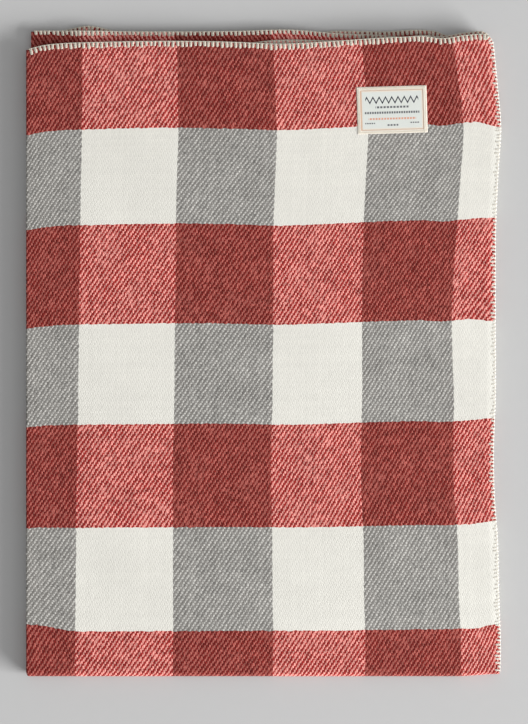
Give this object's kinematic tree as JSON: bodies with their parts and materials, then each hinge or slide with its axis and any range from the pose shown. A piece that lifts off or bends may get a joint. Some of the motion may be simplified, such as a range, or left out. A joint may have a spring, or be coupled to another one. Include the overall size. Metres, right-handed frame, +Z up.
{
  "type": "camp blanket",
  "caption": "Checked wool camp blanket, folded in quarters, with whip-stitched hems and a sewn-on woven label. Its side and end folds open flat.",
  "frame": {"origin": "on the ground, under the middle of the folded stack", "axes": "+Z up through the stack, +Y from the end fold to the end hems, +X from the side fold to the side hems"},
  "size_m": [0.66, 0.905, 0.0158],
  "materials": {
    "wool_check": "matte brushed wool twill in a red, grey and cream check",
    "edge_yarn": "thick soft cream yarn",
    "label": "fine woven label, satin",
    "thread": "fine sewing thread"
  },
  "bodies": {
    "front": {"front_quarter": "wool_check", "front_side_crease": "wool_check", "front_end_crease": "wool_check", "front_end_hem": "edge_yarn", "front_side_hem": "edge_yarn", "label": "label", "label_thread": "thread"},
    "second": {"second_quarter": "wool_check", "second_side_crease": "wool_check", "second_end_crease": "wool_check", "second_end_hem": "edge_yarn", "second_side_hem": "edge_yarn"},
    "third": {"third_quarter": "wool_check", "third_side_crease": "wool_check", "third_end_crease": "wool_check", "third_end_hem": "edge_yarn", "third_side_hem": "edge_yarn"},
    "back": {"back_quarter": "wool_check", "back_side_crease": "wool_check", "back_end_crease": "wool_check", "back_end_hem": "edge_yarn", "back_side_hem": "edge_yarn"}
  },
  "joints": [
    {"name": "end_fold", "type": "hinge", "parent": "third", "child": "second", "pos_m": [0, -0.4527, 0.0075], "axis": [1, 0, 0], "range_deg": [0, 180]},
    {"name": "side_fold_front", "type": "hinge", "parent": "second", "child": "front", "pos_m": [-0.3302, 0, 0.0115], "axis": [0, -1, 0], "range_deg": [0, 180]},
    {"name": "side_fold_back", "type": "hinge", "parent": "third", "child": "back", "pos_m": [-0.3302, 0, 0.0035], "axis": [0, 1, 0], "range_deg": [0, 180]}
  ],
  "couplings": [
    {"joint": "side_fold_back", "follows": "side_fold_front", "ratio": 1}
  ]
}
